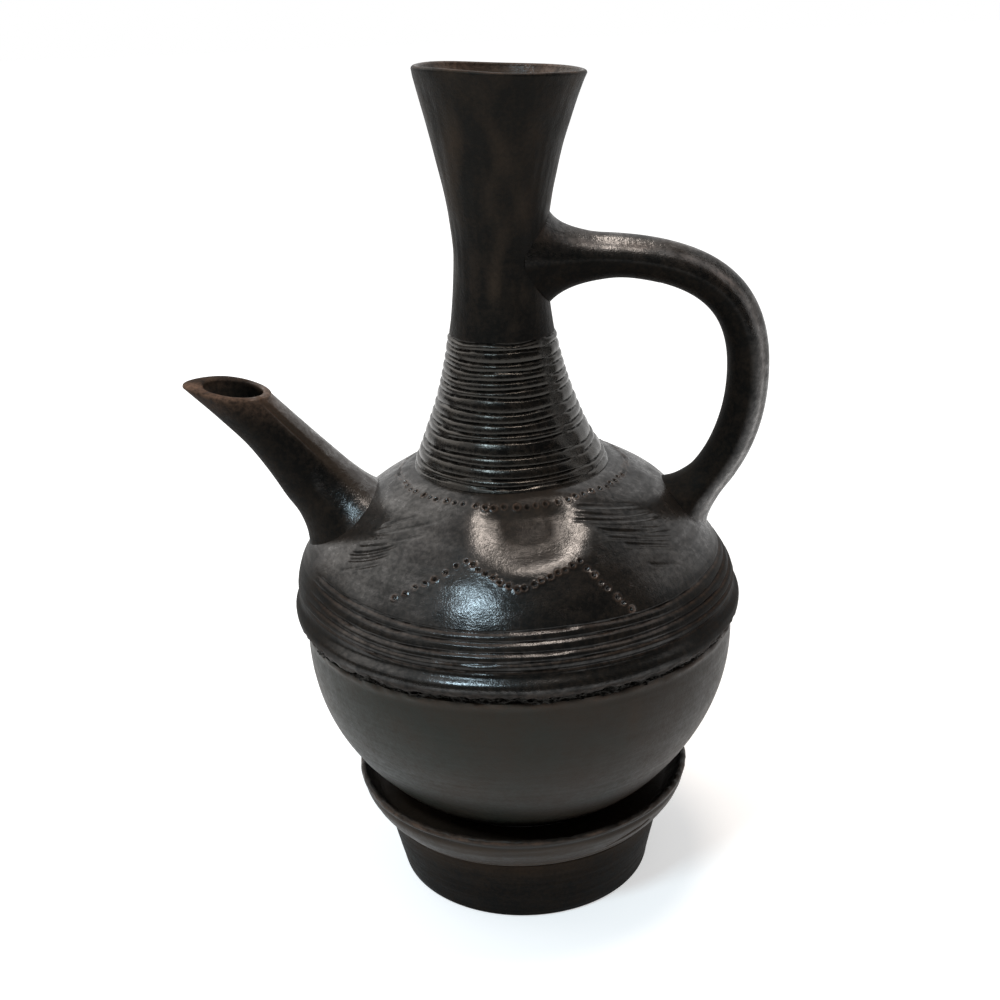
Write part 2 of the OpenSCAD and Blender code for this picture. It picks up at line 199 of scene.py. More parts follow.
def spaced(start, end, count, density):
    """count values from start to end, closer together where density is larger."""
    fine = np.linspace(start, end, 4001)
    weight = density(fine)
    share = np.concatenate([[0], np.cumsum((weight[1:] + weight[:-1]) / 2)])
    return np.interp(np.linspace(0, share[-1], count), share, fine)


def resampled(points, count, density=None):
    """count points along a line of points, evenly or by a density that is given the heights."""
    points = np.asarray(points, float)
    steps = np.hypot(*np.diff(points, axis=0).T)
    if density is not None:
        steps = steps * density((points[1:, 1] + points[:-1, 1]) / 2)
    length = np.concatenate([[0], np.cumsum(steps)])
    at = np.linspace(0, length[-1], count)
    return np.column_stack([np.interp(at, length, points[:, k]) for k in (0, 1)])


def arc(centre, radius, start, end, count=9):
    """Points on a round edge, between two angles."""
    a = np.radians(np.linspace(start, end, count))
    return np.column_stack([centre[0] + radius * np.cos(a), centre[1] + radius * np.sin(a)])


def bezier(points, t):
    """Points on a curve through the first and last of its control points."""
    points = [np.asarray(p, float) for p in points]
    t = np.asarray(t, float)[:, None]
    while len(points) > 1:
        points = [a * (1 - t) + b * t for a, b in zip(points, points[1:])]
    return points[0]


# Walls of the pot, as outer radii by height

def shoulder_radius(z):
    rise = np.clip((z - WIDEST_Z) / SHOULDER_HEIGHT, 0, 1)
    spread = (1 - rise ** SHOULDER_FULLNESS) ** (1 / SHOULDER_FULLNESS)
    drop = np.clip((WIDEST_Z - z) / LIP_HEIGHT, 0, 1)
    return NECK_BASE_RADIUS + (WIDEST_RADIUS - NECK_BASE_RADIUS) * spread - LIP_TURN * drop ** 2


def throat_radius(z):
    below = np.clip((WAIST_Z - z) / (WAIST_Z - NECK_BASE), 0, None)
    above = np.clip((z - WAIST_Z) / (RIM - WAIST_Z), 0, None)
    neck = (NECK_BASE_RADIUS - WAIST_RADIUS) * below ** NECK_SWEEP
    mouth = (MOUTH_RADIUS - WAIST_RADIUS) * above ** MOUTH_SWEEP
    return WAIST_RADIUS + neck + mouth


def throat_wall(z):
    return NECK_WALL + (RIM_WALL - NECK_WALL) * np.clip((z - WAIST_Z) / (RIM - WAIST_Z), 0, 1)


def lean(z):
    """How far the neck leans towards the handle at a height. It is less than 0 towards the spout."""
    back = np.clip((z - WAIST_Z - 2) / (RIM - WAIST_Z - 2), 0, 1)
    return 1.6 * back ** 1.76 - 1.5 * smooth(z, NECK_BASE - 6, NECK_BASE + 14)


def bent(points):
    """The neck leans, and the rim is higher by the spout."""
    x, y, z = np.moveaxis(points, -1, 0)
    lift = (RIM_LIFT - RIM_TILT * x) * smooth(z, WAIST_Z, RIM)
    return np.stack([x + lean(z), y, z + lift], axis=-1)


def shoulder_line():
    """The shoulder's outside from its lip up, as radii and heights."""
    power = 2 / SHOULDER_FULLNESS
    a = np.radians(np.linspace(0, 90, 400))
    curve = np.column_stack([
        NECK_BASE_RADIUS + (WIDEST_RADIUS - NECK_BASE_RADIUS) * np.clip(np.cos(a), 0, 1) ** power,
        WIDEST_Z + SHOULDER_HEIGHT * np.sin(a) ** power,
    ])
    lip_z = np.linspace(SEAM_TOP, WIDEST_Z, 30)[:-1]
    return np.vstack([np.column_stack([shoulder_radius(lip_z), lip_z]), curve])


def throat_line(start, end, count):
    """The outside of neck and mouth between two heights, as radii and heights."""
    z = np.linspace(start, end, count)
    return np.column_stack([throat_radius(z), z])


def wall_gap(points, wall):
    """How far points stand off a wall, which is a line of radii and heights."""
    x, y, z = np.moveaxis(points, -1, 0)
    r = np.hypot(x - lean(z), y)
    away = np.hypot(r[..., None] - wall[:, 0], z[..., None] - wall[:, 1]).min(axis=-1)
    return np.where(r < np.interp(z, wall[:, 1], wall[:, 0]), -away, away)


# Meshes
MASKS = ("wear_and_highlights", "matte", "brown")
SHARP_ANGLE = 60.0


def add_object(name, data):
    made = bpy.data.objects.new(name, data)
    bpy.context.scene.collection.objects.link(made)
    return made


def add_piece(node_name, points, faces, material, masks, body="pot", slot="burnished_clay"):
    """A mesh that stands for a CAD node, with the masks that its material reads."""
    mesh = bpy.data.meshes.new(node_name + "_clay")
    mesh.from_pydata((points.reshape(-1, 3) * MM).tolist(), [], faces)
    mesh.polygons.foreach_set("use_smooth", np.ones(len(mesh.polygons), bool))
    mesh.set_sharp_from_angle(angle=math.radians(SHARP_ANGLE))
    for name in MASKS:
        values = masks.get(name, np.zeros(len(mesh.vertices)))
        layer = mesh.attributes.new(name, "FLOAT", "POINT")
        layer.data.foreach_set("value", np.asarray(values, np.float32).ravel())
    mesh.materials.append(material)
    mesh.update()
    made = add_object(node_name + "_clay", mesh)
    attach(made, body)
    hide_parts(node_name)


def ring_faces(index):
    """Quads between rows of a grid of point numbers, closed along the rows.

    Where a row is one point, they are triangles.
    """
    a, b = index[:-1], np.roll(index, -1, axis=1)[:-1]
    c, d = np.roll(index, -1, axis=1)[1:], index[1:]
    quads = np.stack([a, b, c, d], axis=-1).reshape(-1, 4)
    point_below, point_above = quads[:, 0] == quads[:, 1], quads[:, 2] == quads[:, 3]
    whole = quads[~(point_below | point_above)].tolist()
    return whole + quads[point_below][:, [0, 2, 3]].tolist() + quads[point_above][:, :3].tolist()


def numbered(points):
    """Numbers of a grid of points."""
    return np.arange(points.shape[0] * points.shape[1]).reshape(points.shape[:2])


def closed_grid(points):
    """Faces of a grid of points whose last row meets its first."""
    index = numbered(points)
    return ring_faces(np.vstack([index, index[:1]]))


def even_angles(count):
    return np.arange(count) * 360 / count - 180


def turned(node_name, outside, inside, angles, relief, material, masks=None, bend=None, **place):
    """A turned wall: outside runs from its foot up, and inside back down.

    relief(angle, z, radius) is how far the outside stands out and how far it rises. masks gives each
    mask from the same, and place the piece's body and slot; the slot is not used.
    """
    outline = np.vstack([outside, inside])
    count, columns = len(outside), len(angles)
    angle = angles[None, :]
    slope = np.gradient(outside, axis=0)
    normal = np.column_stack([slope[:, 1], -slope[:, 0]]) / np.hypot(*slope.T)[:, None]
    radius = np.repeat(outline[:, :1], columns, axis=1)
    height = np.repeat(outline[:, 1:], columns, axis=1)
    stands_out, rise = relief(angle, outside[:, 1:], outside[:, :1])
    radius[:count] += stands_out * normal[:, :1]
    height[:count] += stands_out * normal[:, 1:] + rise
    a = np.radians(angle)
    points = np.stack([radius * np.sin(a), -radius * np.cos(a), height], axis=-1)
    if bend is not None:
        points = bend(points)
    poles = outline[:, 0] < 1e-6
    sizes = np.where(poles, 1, columns)
    first = (np.cumsum(sizes) - sizes)[:, None]
    index = first + np.where(poles[:, None], 0, np.arange(columns)[None, :])
    kept = np.ones(index.shape, bool)
    kept[poles, 1:] = False
    values = {}
    for name, rule in (masks or {}).items():
        value = rule(angle, outline[:, 1:], outline[:, :1]) + np.zeros(index.shape)
        values[name] = np.clip(value, 0, 1)[kept]
    if not poles[0]:
        index = np.vstack([index, index[:1]])
    add_piece(node_name, points[kept], ring_faces(index), material, values, **place)


class Route:
    """A line in the plane of spout and handle, by distance along it."""

    def __init__(self, points):
        self.points = np.asarray(points, float)
        steps = np.hypot(*np.diff(self.points, axis=0).T)
        self.run = np.concatenate([[0], np.cumsum(steps)])
        self.length = self.run[-1]
        way = np.gradient(self.points, axis=0)
        self.way = way / np.hypot(*way.T)[:, None]

    def look_up(self, values, distance):
        return np.stack([np.interp(distance, self.run, values[:, k]) for k in (0, 1)], axis=-1)

    def off(self, distance, leftward, frontward):
        """Points beside the line: to the left of its direction in its plane, and to the front."""
        centre = self.look_up(self.points, distance)
        way = self.look_up(self.way, distance)
        way = way / np.linalg.norm(way, axis=-1, keepdims=True)
        x = centre[..., 0] - way[..., 1] * leftward
        z = centre[..., 1] + way[..., 0] * leftward
        return np.stack([x, -frontward + np.zeros_like(x), z], axis=-1)


# Materials

def new_material(name):
    made = bpy.data.materials.new(name)
    made.use_nodes = True
    return made, made.node_tree, made.node_tree.nodes["Principled BSDF"]


def fill(tree, made, inputs):
    """Sets a node's inputs, which are given as values or as sockets to link."""
    for name, value in inputs.items():
        if isinstance(value, bpy.types.NodeSocket):
            tree.links.new(value, made.inputs[name])
        else:
            made.inputs[name].default_value = value


def node(tree, kind, inputs=None, **settings):
    made = tree.nodes.new("ShaderNode" + kind)
    for name, value in settings.items():
        setattr(made, name, value)
    fill(tree, made, inputs or {})
    return made


def noise(tree, place, scale, detail, roughness):
    inputs = {"Vector": place, "Scale": scale, "Detail": detail, "Roughness": roughness}
    return node(tree, "TexNoise", inputs).outputs["Fac"]


def ranged(tree, value, from_low, from_high, to_low, to_high):
    inputs = {"Value": value, "From Min": from_low, "From Max": from_high}
    inputs.update({"To Min": to_low, "To Max": to_high})
    return node(tree, "MapRange", inputs).outputs["Result"]


def maths(tree, operation, *values):
    """Values or sockets put together one after another."""
    total = values[0]
    for value in values[1:]:
        total = node(tree, "Math", {0: total, 1: value}, operation=operation).outputs["Value"]
    return total


def mixed(tree, share, first, second):
    colours = [c if isinstance(c, bpy.types.NodeSocket) else (*c, 1.0) for c in (first, second)]
    inputs = {0: share, 6: colours[0], 7: colours[1]}
    return node(tree, "Mix", inputs, data_type="RGBA").outputs[2]


def mask(tree, name):
    return node(tree, "Attribute", attribute_name=name).outputs["Fac"]


# Noise scales of the clay's marks, from the coarse to the fine
MOTTLE_SCALE = 55.0
SMUDGE_SCALE = 190.0
SPECK_SCALE = 800.0
GRAIN_SCALE = 2200.0

# What all the clay shares
WORN_AND_HIGHLIGHT = (0.13, 0.075, 0.05)
SPECULAR_TINT = (1.0, 0.93, 0.84, 1.0)
SKIN_IOR = 1.65
ROUGHER_WHERE_MATTE = 0.6
ROUGHER_UNDER_SKIN = 0.1


def clay(name, black, brown, gloss, streaks, grain, specular, turn=(0, 0, 0), rub=0.03, coat=0.0,
         skin=1.0, cross=None):
    """Fired clay: mottled, streaked by the burnishing stone, browner and worn where its masks say, and
    painted with highlights, light and shade where the same masks carry them.

    gloss is the roughness where the stone rubbed most and least, streaks the noise scales of its marks
    along three axes that turn sets, rub their depth and grain that of the clay's grain. coat and skin are
    roughness and weight of a burnished skin, and cross is a second black towards the handle, a painted
    tint of the warm reflections on that side.
    """
    made, tree, shader = new_material(name)
    fill(tree, shader, {"Specular IOR Level": specular, "Specular Tint": SPECULAR_TINT})
    place = node(tree, "TexCoord").outputs["Object"]
    laid = node(tree, "Mapping", {"Vector": place, "Rotation": turn}).outputs["Vector"]
    streaked = node(tree, "Mapping", {"Vector": laid, "Scale": streaks}).outputs["Vector"]
    mottle = noise(tree, place, MOTTLE_SCALE, 5.0, 0.6)
    smudge = noise(tree, place, SMUDGE_SCALE, 4.0, 0.7)
    streak = noise(tree, streaked, 1.0, 4.0, 0.65)
    speck = noise(tree, place, SPECK_SCALE, 3.0, 0.6)
    fine = noise(tree, place, GRAIN_SCALE, 2.0, 0.5)

    # Painted reflection: towards the handle the black turns to a warmer second black.
    if cross is not None:
        side = node(tree, "SeparateXYZ", {"Vector": place}).outputs["X"]
        side = maths(tree, "ADD", side, ranged(tree, mottle, 0.3, 0.7, -0.03, 0.03))
        black = mixed(tree, ranged(tree, side, -0.04, 0.04, 0.0, 1.0), black, cross)
    # The brown mask is the clay's own browner tone, and also painted light on the tops of spout and handle
    # and painted shade on the shoulder's grooved band.
    tone = maths(
        tree, "ADD", ranged(tree, mottle, 0.4, 0.75, 0.0, 0.3), mask(tree, "brown"),
        ranged(tree, smudge, 0.35, 0.65, -0.12, 0.16), ranged(tree, speck, 0.35, 0.65, -0.12, 0.16),
    )
    # The wear mask leads to the worn colour: real wear on lips and rims, and painted highlights on edges,
    # ridges, burrs and glints.
    rubbed = maths(
        tree, "MULTIPLY", mask(tree, "wear_and_highlights"),
        ranged(tree, speck, 0.3, 0.6, 0.3, 1.0), ranged(tree, smudge, 0.3, 0.6, 0.4, 1.0),
    )
    colour = mixed(tree, rubbed, mixed(tree, tone, black, brown), WORN_AND_HIGHLIGHT)
    rougher = ROUGHER_UNDER_SKIN if coat else ROUGHER_WHERE_MATTE
    shine = maths(
        tree, "ADD", ranged(tree, streak, 0.3, 0.7, *gloss), ranged(tree, speck, 0.3, 0.7, -0.05, 0.05),
        ranged(tree, smudge, 0.3, 0.7, -0.05, 0.06), maths(tree, "MULTIPLY", mask(tree, "matte"), rougher),
    )
    height = maths(
        tree, "ADD", maths(tree, "MULTIPLY", maths(tree, "ADD", fine, speck), grain),
        maths(tree, "MULTIPLY", smudge, 1.5 * grain), maths(tree, "MULTIPLY", streak, rub),
    )
    bump = node(tree, "Bump", {"Strength": 1.0, "Distance": MM, "Height": height}).outputs["Normal"]
    fill(tree, shader, {"Base Color": colour, "Roughness": shine, "Normal": bump})
    if coat:
        shader.inputs["Coat Weight"].default_value = 0.5 * skin
        weight = maths(
            tree, "MULTIPLY", maths(tree, "SUBTRACT", 1.0, mask(tree, "matte")),
            ranged(tree, streak, 0.3, 0.7, skin, 0.65 * skin),
            ranged(tree, smudge, 0.35, 0.65, 0.5, 1.2), ranged(tree, speck, 0.35, 0.65, 0.7, 1.2),
        )
        skin_inputs = {"Coat Weight": weight, "Coat Roughness": coat, "Coat IOR": SKIN_IOR}
        fill(tree, shader, {**skin_inputs, "Coat Normal": bump})
    return made


# Lays of the streaks, colours, and the roughness under a burnished skin
ROUND = (30.0, 30.0, 900.0)
UPRIGHT = (700.0, 700.0, 25.0)
LENGTHWISE = (60.0, 500.0, 60.0)
SPOUT_SLANT = (0, math.radians(-48), 0)
BLACK = (0.003, 0.0028, 0.0026)
# Painted shade: a darker black for the seam band, which lies recessed under the shoulder's lip.
SEAM_SHADE_BLACK = (0.002, 0.0018, 0.0016)
UMBER = (0.026, 0.0175, 0.012)
OLIVE = (0.0175, 0.019, 0.016)
# A warmer black for the belly's handle side, a painted tint of the warm reflections there.
PAINTED_WARM_TINT = (0.021, 0.0165, 0.0135)
SOOT = (0.008, 0.0065, 0.0055)
UNDER_SKIN = (0.45, 0.6)

burnished_shoulder = clay("burnished_shoulder", BLACK, UMBER, UNDER_SKIN, ROUND,
                          grain=0.04, specular=0.08, coat=0.2)
burnished_neck = clay("burnished_neck", BLACK, UMBER, (0.2, 0.3), ROUND, grain=0.04, specular=0.44)
burnished_mouth = clay("burnished_mouth", BLACK, UMBER, (0.34, 0.46), UPRIGHT,
                       grain=0.09, specular=0.1, coat=0.24, skin=0.4)
burnished_spout = clay("burnished_spout", BLACK, UMBER, UNDER_SKIN, UPRIGHT,
                       grain=0.09, specular=0.06, turn=SPOUT_SLANT, coat=0.23)
burnished_handle = clay("burnished_handle", BLACK, UMBER, UNDER_SKIN, LENGTHWISE,
                        grain=0.06, specular=0.06, coat=0.24)
satin = clay("satin", OLIVE, UMBER, (0.42, 0.5), ROUND,
             grain=0.03, specular=0.15, rub=0.008, cross=PAINTED_WARM_TINT)
satin_dish = clay("satin_dish", SOOT, UMBER, (0.4, 0.5), ROUND,
                  grain=0.05, specular=0.18, rub=0.015)
matte = clay("matte", BLACK, UMBER, (0.5, 0.65), ROUND, grain=0.05, specular=0.04)
torn = clay("torn", SEAM_SHADE_BLACK, BLACK, (0.5, 0.8), ROUND, grain=0.2, specular=0.3)


# Stand

def stand_foot():
    outside = np.vstack([
        arc((FOOT_RADIUS - STAND_EDGE, STAND_EDGE), STAND_EDGE, -90, 0),
        [(FOOT_TOP_RADIUS, FOOT_TOP - 0.5), (FOOT_TOP_RADIUS - 0.5, FOOT_TOP)],
    ])
    inside = np.array([(FOOT_BORE, FOOT_TOP), (FOOT_BORE, 0.0)])

    def relief(angle, z, radius):
        wobble = 0.25 * ripple(11, angle, z, 5, 60)
        streaks = 0.015 * ripple(12, angle, z, 9, 2.5)
        return (wobble + streaks) * smooth(z, 0.2, 2.5), 0

    def brown(angle, z, radius):
        return 0.6 * smooth(z, FOOT_TOP - 10, FOOT_TOP) + 0.1 * ripple(13, angle, z, 8, 6)

    turned("stand_foot", resampled(outside, 60), inside, even_angles(420), relief, matte,
           {"brown": brown}, body="stand", slot="satin_clay")


# A crack on the dish, as angles and heights of its ends
CRACK = ((28.0, 26.5), (47.0, 30.5))
CRACK_DEPTH = 0.9
CRACK_HALF_WIDTH = 0.4


def stand_dish():
    rim_r = DISH_RIM_WALL / 2
    low_radius = FOOT_TOP_RADIUS + DISH_STEP
    base = np.array([low_radius, FOOT_TOP + STAND_EDGE])
    edge = np.array([DISH_RADIUS, DISH_TOP - rim_r])
    bow = (base + edge) / 2 + 2 * DISH_BULGE * np.array([1, -1])
    outside = np.vstack([
        [(SPIGOT_RADIUS, FOOT_TOP - SPIGOT_DEPTH), (SPIGOT_RADIUS, FOOT_TOP)],
        arc((low_radius - STAND_EDGE, FOOT_TOP + STAND_EDGE), STAND_EDGE, -90, 0),
        bezier([base, bow, edge], np.linspace(0.02, 0.98, 30)),
        arc((DISH_RADIUS - rim_r, DISH_TOP - rim_r), rim_r, 0, 180),
    ])
    ball = BELLY_RADIUS + SEAT_GAP
    ends = [-math.degrees(math.acos(r / ball)) for r in SEAT_RADII]
    seat = arc((0, BELLY_Z), ball, ends[1], ends[0], 8)
    ledge = low_radius - DISH_WALL + 3
    inside = np.vstack([[(ledge, seat[0, 1])], seat, [(SEAT_RADII[0], FOOT_TOP - SPIGOT_DEPTH)]])

    def relief(angle, z, radius):
        outer = smooth(radius, low_radius - 1, low_radius + 0.5)
        wobble = 0.2 * ripple(21, angle, z, 4, 80)
        streaks = 0.05 * ripple(22, angle, z, 9, 2.0)
        set_in = 0.55 * hill(z, DISH_TOP - 2.9, 0.8) * (0.8 + 0.3 * wander(23, angle, 6))
        nicks = 0.25 * np.abs(ripple(24, angle, z, 60, 2)) * smooth(z, DISH_TOP - 2, DISH_TOP)
        (a0, z0), (a1, z1) = CRACK
        along = (angle - a0) / (a1 - a0)
        line = z0 + (z1 - z0) * along + 0.3 * wander(25, angle, 60)
        crack = hill(z, line, CRACK_HALF_WIDTH) * band(along, 0, 0.1, 0.9, 1)
        return (wobble + streaks - set_in - nicks - CRACK_DEPTH * crack) * outer, 0

    def wear_and_highlights(angle, z, radius):
        """Painted highlights: a thin light line on the outer edge of the rim, and one on the lower edge.
        """
        painted_rim_highlight = hill(z, DISH_TOP - 0.8, 0.6) * smooth(radius, DISH_RADIUS - 2, DISH_RADIUS - 1)
        painted_edge_highlight = 0.15 * hill(z, FOOT_TOP + STAND_EDGE, 0.7)
        return painted_rim_highlight * (0.3 + 0.2 * wander(26, angle, 40)) + painted_edge_highlight

    def brown(angle, z, radius):
        patchy = 0.8 + 0.2 * ripple(27, angle, z, 12, 8)
        return patchy * fade(z, DISH_TOP - 4, DISH_TOP - 2.5)

    turned("stand_dish", resampled(outside, 190), inside, even_angles(450), relief, satin_dish,
           {"wear_and_highlights": wear_and_highlights, "brown": brown}, body="stand", slot="satin_clay")


# Body, with a brown smudge on the belly
SMUDGE_ANGLE = 27.5
SMUDGE_HEIGHT = 80.0


def belly_bowl():
    edge_start = BELLY_TOP - BELLY_EDGE_HEIGHT
    top = math.degrees(math.asin((edge_start - BELLY_Z) / BELLY_RADIUS))
    edge_radius = BELLY_RADIUS + BELLY_EDGE_TURN
    outside = np.vstack([
        arc((0, BELLY_Z), BELLY_RADIUS, -90, top, 140),
        bezier([
            (math.sqrt(BELLY_RADIUS ** 2 - (edge_start - BELLY_Z) ** 2), edge_start + 0.3),
            (BELLY_RADIUS + 0.3, BELLY_TOP - 1.2), (edge_radius, BELLY_TOP - 0.7),
            (edge_radius - 0.5, BELLY_TOP),
        ], np.linspace(0, 1, 12)),
    ])
    outside[0, 0] = 0
    inner = BELLY_RADIUS - WALL
    inside = np.vstack([[(inner, BELLY_TOP)], arc((0, BELLY_Z), inner, 0, -90, 24)])
    inside[-1, 0] = 0

    def relief(angle, z, radius):
        free = smooth(z, DISH_TOP - 2, DISH_TOP + 8)
        wobble = 0.35 * ripple(31, angle, z, 4, 70)
        streaks = 0.01 * ripple(32, angle, z, 14, 1.6)
        edge = 0.25 * ripple(33, angle, z, 70, 3) * smooth(z, BELLY_TOP - 2, BELLY_TOP)
        return (wobble + streaks) * free + edge, 0

    def wear_and_highlights(angle, z, radius):
        # Painted highlight: a light line along the belly's top edge, under the seam.
        return 0.15 * hill(z, BELLY_TOP - 0.8, 0.9) * (1 + 0.5 * wander(34, angle, 30))

    def brown(angle, z, radius):
        smudge = hill(turn_from(angle, SMUDGE_ANGLE), 0, 2.2) * hill(z, SMUDGE_HEIGHT, 6)
        return 0.25 * ripple(35, angle, z, 7, 22) + 0.8 * smudge

    turned("belly_bowl", resampled(outside, 180), inside, even_angles(460), relief, satin,
           {"wear_and_highlights": wear_and_highlights, "brown": brown}, slot="satin_clay")


def seam_band():
    levels = np.linspace(BELLY_TOP - 0.3, SEAM_TOP + 1.2, 18)
    outside = np.column_stack([np.full(len(levels), SEAM_RADIUS + 0.1), levels])
    inside = np.array([(BELLY_RADIUS - WALL, SEAM_TOP), (BELLY_RADIUS - WALL, BELLY_TOP)])

    def relief(angle, z, radius):
        crumbs = 0.4 * ripple(41, angle, z, 200, 0.9, 80)
        return crumbs + 0.35 * ripple(42, angle, z, 40, 4), 0

    turned("seam_band", outside, inside, even_angles(1200), relief, torn, slot="torn_clay")


# Ornament of the shoulder, as angles and heights
ZIGZAG = ((-36.8, 114.8), (-17.3, 125.2), (-1.2, 119.0), (19.0, 123.8), (29.4, 111.2))
ZIGZAG_DOTS = (7, 7, 8, 7)
NECK_DOT_HEIGHT = 135.8
NECK_DOTS = 72
DOT_RADIUS = 0.72
DOT_DEPTH = 0.8
BURR_HEIGHT = 0.28
HATCH = (
    (-58, 125.6, -31, 132.6), (-57, 127.4, -42, 132.2), (-61, 122.0, -33, 129.5),
    (-62, 119.5, -43, 126.0), (-61, 118.0, -44, 124.0), (-61, 115.0, -45, 121.4),
    (26, 134.4, 56, 130.4), (24, 133.4, 60, 128.2), (22, 132.4, 61, 126.6),
    (26, 130.8, 61, 124.0), (28, 129.8, 62, 123.0), (30, 128.6, 60, 121.8),
    (31, 127.4, 59, 120.8), (36, 125.0, 57, 119.6), (39, 123.2, 56, 118.6),
    (41, 119.2, 54, 115.8),
)
HATCH_DEPTH = 0.34
HATCH_HALF_WIDTH = 0.38
SHOULDER_GROOVES = (100.4, 102.7, 105.0, 107.6, 110.0)
GROOVE_DEPTH = 0.52
GROOVE_WIDTH = 0.95
RIDGE_RISE = 0.12
HOLLOW_ANGLE = 4.0
HOLLOW_HEIGHT = 133.0
HOLLOW_HALF_SIZE = (22.3, 11.8)
HOLLOW_END = (133.5, 138.0)
HOLLOW_DEPTH = 2.1
HOLLOW_RADIUS = 45.5
BACK = 180.0


def dots():
    """Pricked dots: a zigzag in front and behind, and a row round the foot of the neck."""
    draw = np.random.default_rng(5)
    found = [ZIGZAG[-1]]
    for (a0, z0), (a1, z1), count in zip(ZIGZAG, ZIGZAG[1:], ZIGZAG_DOTS):
        for share in (np.arange(count) + draw.uniform(-0.15, 0.15, count)) / count:
            found.append((a0 + (a1 - a0) * share, z0 + (z1 - z0) * share + draw.uniform(-0.2, 0.2)))
    found += [(a + BACK, z) for a, z in found]
    for i in range(NECK_DOTS):
        angle = i * 360 / NECK_DOTS + draw.uniform(-0.9, 0.9)
        found.append((angle, NECK_DOT_HEIGHT + draw.uniform(-0.2, 0.2)))
    return found


def dot_relief(angle, height, radius):
    """Pits with a burr of clay pushed up round them, and where the burrs are."""
    draw = np.random.default_rng(7)
    total = np.zeros(np.broadcast(angle, height).shape)
    burrs = np.zeros(total.shape)
    slope = np.gradient(shoulder_radius(height[:, 0]), height[:, 0])
    for a, z in dots():
        size = DOT_RADIUS * draw.uniform(0.85, 1.1)
        depth = DOT_DEPTH * draw.uniform(0.7, 1.1)
        burr_height = BURR_HEIGHT * draw.uniform(0.3, 1.2)
        rows = np.flatnonzero(np.abs(height[:, 0] - z) < 3 * size)
        columns = np.flatnonzero(apart(angle[0], a) < 6)
        across = np.radians(turn_from(angle[0, columns], a))[None, :] * radius[rows]
        up = ((height[rows, 0] - z) * np.hypot(1, slope[rows]))[:, None]
        away = np.hypot(across, up) / size
        pit = depth * np.clip(1 - away ** 2, 0, 1) ** 1.2
        burr = burr_height * hill(away, 1.3, 0.32)
        total[np.ix_(rows, columns)] += burr - pit
        burrs[np.ix_(rows, columns)] += burr
    return total, burrs


def hatch_relief(angle, z):
    """Loose strokes scratched with a comb beside the spout and the handle, front and back."""
    draw = np.random.default_rng(6)
    total = np.zeros(np.broadcast(angle, z).shape)
    for a0, z0, a1, z1 in HATCH:
        for side in (0, BACK):
            along = turn_from(angle, a0 + side) / (a1 - a0)
            bow = 2 * draw.uniform(-1, 1) * along * (1 - along)
            away = z - (z0 + (z1 - z0) * along + bow)
            depth = HATCH_DEPTH * draw.uniform(0.6, 1.2) * band(along, -0.02, 0.12, 0.75, 1.02)
            total -= depth * hill(away, 0, HATCH_HALF_WIDTH)
            total += 0.2 * depth * hill(away, -2 * HATCH_HALF_WIDTH, HATCH_HALF_WIDTH)
    return total


def across_hollow(angle):
    return np.radians(turn_from(angle, HOLLOW_ANGLE)) * HOLLOW_RADIUS


def from_hollow(angle, z):
    """Distance from the middle of the hollow pressed in front, as a share of its half size."""
    half_width, half_height = HOLLOW_HALF_SIZE
    return np.hypot(across_hollow(angle) / half_width, (z - HOLLOW_HEIGHT) / half_height)


def scored(z, line, depth, width):
    """A groove scored under a line: a slope that takes the light, and a steep edge above it."""
    below, above = (line - z) / width, (z - line) / (0.4 * width)
    return -depth * np.clip(1 - np.where(z < line, below, above), 0, 1)


def ridge(z, below, above):
    """A round ridge that fills the band between two lines."""
    t = np.clip((z - below) / (above - below), 0, 1)
    return 4 * t * (1 - t)


